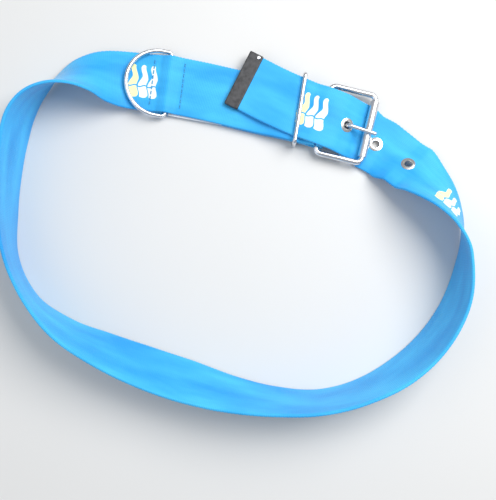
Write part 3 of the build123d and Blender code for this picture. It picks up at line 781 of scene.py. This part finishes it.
class BELT_OT_webbing(Operator):
    """Weave the belt's one length of webbing and lay it round its route"""
    bl_idname = "belt.webbing"
    bl_label = "Webbing"

    def execute(self, context):
        settings = context.scene.belt_webbing
        rows = webbing_rows()
        columns = round(ROUTE.length / settings.column)
        bm = bmesh.new()
        bmesh.ops.create_grid(bm, x_segments=columns, y_segments=len(rows) - 1, size=1.0)
        thickness = {}
        for vert in bm.verts:
            column = round((vert.co.x + 1) / 2 * columns)
            row = round((vert.co.y + 1) / 2 * (len(rows) - 1))
            width, share = rows[row]
            station = ROUTE.length * column / columns
            if share < LOOPED_SHARE:
                phase = math.cos(math.tau * station / settings.picot_pitch)
                width += math.copysign(settings.picot_depth / MM * (phase - 1) / 2, width)
            thickness[vert] = share
            vert.co = (station, width * MM, 0)
        holes = eyelet_stations()
        cut = [
            face for face in bm.faces
            if is_cut(*face.calc_center_median().xy, holes)]
        bmesh.ops.delete(bm, geom=cut, context="FACES")
        for vert in bm.verts:
            vert.co.z = -thickness[vert] * HALF_WEB * MM
        grown = bmesh.ops.extrude_face_region(bm, geom=bm.faces[:])["geom"]
        for vert in grown:
            if isinstance(vert, bmesh.types.BMVert):
                vert.co.z = -vert.co.z
        mark_cloth(bm)
        self.add_ripple(bm, settings.ripple)
        lay_on_route(bm)
        piece = new_object("webbing", bm, [webbing_material(settings)])
        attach(piece, "belt")
        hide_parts("strap_webbing")
        return {"FINISHED"}

    def add_ripple(self, bm, depth):
        """Gentle waves in the free part of the loop, none where it is sewn or buckled."""
        start = ROUTE.nearest(at_place(LOOP[0]))
        end = ROUTE.nearest(at_place(LOOP[-1]))
        for vert in bm.verts:
            inside = min(vert.co.x - start, end - vert.co.x)
            ease = min(max(inside / RIPPLE_EASE, 0.0), 1.0)
            wave = noise.noise(Vector((vert.co.x * 60, vert.co.y * 50, 0)))
            vert.co.z += wave * depth * ease


# ---- prints --------------------------------------------------------------------------------------

# Where the prints are centred: in the D-ring's bow, right of the keeper and past the last eyelet.
PRINT_PLACES = {
    "print_at_d_ring": (-153.5, -5.1, 6.0),
    "print_at_keeper": (-9.5, 1.8, 13.0),
    "print_at_bend": (BAR_SPACING + 75.0, -47.0, 28.0),
}


class BELT_OT_prints(Operator):
    """Print the three groups of wavy bars on the webbing"""
    bl_idname = "belt.prints"
    bl_label = "Prints"

    def execute(self, context):
        prints = context.scene.belt_prints
        cloth = context.scene.belt_webbing.colour
        inks = [
            ink_material("white_ink", prints.white, cloth),
            ink_material("pale_yellow_ink", prints.yellow, cloth)]
        for name, place in PRINT_PLACES.items():
            bm = bmesh.new()
            middle = ROUTE.nearest(at_place(place))
            for number in (-1, 0, 1):
                ink = 1 if number == 1 else 0
                self.add_bar(bm, prints, middle + number * prints.bar_pitch, ink)
            mark_cloth(bm)
            lay_on_route(bm)
            piece = new_object(name, bm, inks)
            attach(piece, "belt")
        return {"FINISHED"}

    def add_bar(self, bm, prints, station, ink):
        """One bar: tapered to a neck at one end, swaying, with a wavy gap across it."""
        for low, high in ((-1.0, 0.26), (0.34, 1.0)):
            made = bmesh.ops.create_grid(bm, x_segments=6, y_segments=30, size=1.0)["verts"]
            for vert in made:
                side, share = vert.co.x, (vert.co.y + 1) / 2
                along = low + (high - low) * share
                gap = 0.05 * math.sin(side * 2.5)
                across = along + (gap if abs(along) < 0.95 else 0)
                reach = self.bar_reach(along)
                sway = prints.wave * math.sin(along * math.tau * 0.9)
                vert.co.x = station + sway + side * reach * prints.bar_width / 2
                vert.co.y = across * prints.bar_height / 2
                vert.co.z = HALF_WEB * MM - prints.ink
            faces = list({face for vert in made for face in vert.link_faces})
            for face in faces:
                face.material_index = ink
            grown = bmesh.ops.extrude_face_region(bm, geom=faces)["geom"]
            for item in grown:
                if isinstance(item, bmesh.types.BMVert):
                    item.co.z = HALF_WEB * MM + prints.ink
                elif isinstance(item, bmesh.types.BMFace):
                    item.material_index = ink

    @staticmethod
    def bar_reach(along):
        """Half width of a bar as a share: full below, narrower above, round at both ends."""
        taper = 0.55 + 0.45 / (1.0 + math.exp(-14.0 * (along + 0.20)))
        end = max(abs(along) - 0.86, 0.0) / 0.14
        return taper * math.sqrt(max(1.0 - end * end, 0.02))


# ---- strap tip -----------------------------------------------------------------------------------

# Width of the strips that the cap is cut into, in metres.
CAP_STRIP = 0.0012


class BELT_OT_tip(Operator):
    """Shrink the black cap over the webbing's free end and set its rivet"""
    bl_idname = "belt.tip"
    bl_label = "Strap tip"

    def execute(self, context):
        settings = context.scene.belt_tip
        size = Vector((TIP_LENGTH, WEB_WIDTH + 2 * TIP_WALL, WEB_THICKNESS + 2 * TIP_WALL)) * MM
        bm = bmesh.new()
        bmesh.ops.create_cube(bm, size=1.0)
        bmesh.ops.scale(bm, vec=size, verts=bm.verts)
        bmesh.ops.bevel(
            bm, geom=bm.edges[:], offset=settings.roundness, segments=4, profile=0.5,
            affect="EDGES", material=-1)
        self.slice_up(bm, size, CAP_STRIP)
        middle = ROUTE.length - size.x / 2 + TIP_WALL * MM
        for vert in bm.verts:
            crease = noise.noise(Vector((vert.co.x * 70, vert.co.y * 260, vert.co.z * 90)))
            crease += 0.5 * noise.noise(Vector((vert.co.x * 320, vert.co.y * 330, 7.0)))
            shrink = abs(crease) * settings.crease
            vert.co.z -= math.copysign(shrink, vert.co.z)
            vert.co.x += middle
        lay_on_route(bm)
        piece = new_object("strap_tip_cap", bm, [rubber_material(settings)], 65.0)
        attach(piece, "belt")
        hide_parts("strap_tip")
        steel = metal_material("rivet_steel", context.scene.belt_metal.steel, 0.2, 0.4)
        finish_node("tip_rivet", steel)
        return {"FINISHED"}

    def slice_up(self, bm, size, step):
        """Cuts the cap into even strips both ways, so that it can crease."""
        for axis in (0, 1):
            normal = [0, 0, 0]
            normal[axis] = 1
            count = int(size[axis] / step)
            for cut in range(1, count):
                place = [0, 0, 0]
                place[axis] = size[axis] * (cut / count - 0.5)
                geom = bm.verts[:] + bm.edges[:] + bm.faces[:]
                bmesh.ops.bisect_plane(bm, geom=geom, plane_co=place, plane_no=normal)


# ---- sewing --------------------------------------------------------------------------------------

class BELT_OT_sewing(Operator):
    """Finish the thread of the D-ring pocket and the blank label"""
    bl_idname = "belt.sewing"
    bl_label = "Thread and label"

    def execute(self, context):
        finish_node("d_ring_stitching", thread_material(context.scene.belt_webbing))
        finish_node("end_label", label_material())
        return {"FINISHED"}


# ---- metal ---------------------------------------------------------------------------------------

class BELT_OT_eyelets(Operator):
    """Plate the three eyelets and their washers"""
    bl_idname = "belt.eyelets"
    bl_label = "Eyelets"

    def execute(self, context):
        nickel = metal_material("eyelet_nickel", context.scene.belt_metal.nickel, 0.16, 0.36, 0.5)
        for number in (1, 2, 3):
            finish_node("eyelet_%d" % number, nickel)
            finish_node("eyelet_washer_%d" % number, nickel)
        return {"FINISHED"}


class BELT_OT_buckle(Operator):
    """Finish the buckle's frame, roller and prong"""
    bl_idname = "belt.buckle"
    bl_label = "Buckle"

    def execute(self, context):
        metal = context.scene.belt_metal
        finish_node("buckle_frame", metal_material("frame_steel", metal.steel, 0.20, 0.38))
        finish_node("buckle_roller", metal_material("roller_steel", metal.steel, 0.26, 0.46))
        finish_node("buckle_prong", metal_material("prong_steel", metal.steel, 0.24, 0.44))
        return {"FINISHED"}


class BELT_OT_rings(Operator):
    """Finish the keeper and the D-ring"""
    bl_idname = "belt.rings"
    bl_label = "Keeper and D-ring"

    def execute(self, context):
        metal = context.scene.belt_metal
        finish_node("keeper_loop", metal_material("keeper_steel", metal.steel, 0.18, 0.34))
        finish_node("d_ring", metal_material("d_ring_steel", metal.steel, 0.18, 0.36))
        return {"FINISHED"}


# ---- stage ---------------------------------------------------------------------------------------

# The camera stands and looks at places on the route's own axes, in millimetres. The lights stand at
# a distance from the target, in metres.
CAMERA_PLACE = (-24.4, -161.4, 598.5)
CAMERA_TARGET = (-34.5, -120.8, 0.0)
KEY_OFFSET = (0.42, 0.50, 0.85)
KEY_SIZE = 0.75
FILL_OFFSET = (-0.75, -0.30, 0.80)
FILL_SIZE = 1.1
SKY_COLOUR = (0.92, 0.95, 1.0, 1.0)


def area_light(name, place, target, size, power):
    """A square soft light that faces the target."""
    light = bpy.data.lights.new(name, "AREA")
    light.energy = power
    light.size = size
    lamp = bpy.data.objects.new(name, light)
    lamp.location = place
    lamp.rotation_euler = (Vector(target) - Vector(place)).to_track_quat("-Z", "Y").to_euler()
    bpy.context.scene.collection.objects.link(lamp)


class BELT_OT_stage(Operator):
    """Set the pale floor, the soft lights and the camera"""
    bl_idname = "belt.stage"
    bl_label = "Stage"

    def execute(self, context):
        settings = context.scene.belt_stage
        scene = context.scene
        bm = bmesh.new()
        bmesh.ops.create_grid(bm, x_segments=1, y_segments=1, size=settings.floor_size / 2)
        floor = new_object("floor", bm, [floor_material(settings.floor_colour)])
        target = at_place(CAMERA_TARGET)
        area_light("key", target + Vector(KEY_OFFSET), target, KEY_SIZE, settings.key_power)
        area_light("fill", target + Vector(FILL_OFFSET), target, FILL_SIZE, settings.fill_power)
        world = bpy.data.worlds.new("room")
        world.use_nodes = True
        background = world.node_tree.nodes["Background"]
        background.inputs["Color"].default_value = SKY_COLOUR
        background.inputs["Strength"].default_value = settings.sky
        scene.world = world
        camera = bpy.data.cameras.new("camera")
        camera.lens = settings.lens
        camera.sensor_width = 36.0
        viewer = bpy.data.objects.new("camera", camera)
        viewer.location = at_place(CAMERA_PLACE)
        aim = target - viewer.location
        viewer.rotation_euler = aim.to_track_quat("-Z", "Y").to_euler()
        scene.collection.objects.link(viewer)
        scene.camera = viewer
        scene.view_settings.view_transform = "Standard"
        return {"FINISHED"}


# ---- add-on --------------------------------------------------------------------------------------

class BELT_PT_panel(Panel):
    """Lists the belt's makers"""
    bl_idname = "BELT_PT_panel"
    bl_label = "Dive Weight Belt"
    bl_space_type = "VIEW_3D"
    bl_region_type = "UI"
    bl_category = "Weight Belt"

    def draw(self, context):
        for maker in MAKERS:
            self.layout.operator(maker.bl_idname)


SETTINGS = {
    "belt_webbing": BELT_PG_webbing,
    "belt_prints": BELT_PG_prints,
    "belt_tip": BELT_PG_tip,
    "belt_metal": BELT_PG_metal,
    "belt_stage": BELT_PG_stage,
}
MAKERS = (
    BELT_OT_stage,
    BELT_OT_webbing,
    BELT_OT_prints,
    BELT_OT_tip,
    BELT_OT_sewing,
    BELT_OT_eyelets,
    BELT_OT_buckle,
    BELT_OT_rings,
)


def register():
    for kind in (*SETTINGS.values(), *MAKERS, BELT_PT_panel):
        bpy.utils.register_class(kind)
    for name, kind in SETTINGS.items():
        setattr(bpy.types.Scene, name, PointerProperty(type=kind))


def unregister():
    for name in SETTINGS:
        delattr(bpy.types.Scene, name)
    for kind in (BELT_PT_panel, *reversed(MAKERS), *reversed(SETTINGS.values())):
        bpy.utils.unregister_class(kind)


def main():
    register()
    bpy.ops.belt.stage()
    bpy.ops.belt.webbing()
    bpy.ops.belt.prints()
    bpy.ops.belt.tip()
    bpy.ops.belt.sewing()
    bpy.ops.belt.eyelets()
    bpy.ops.belt.buckle()
    bpy.ops.belt.rings()


if __name__ == "__main__":
    main()
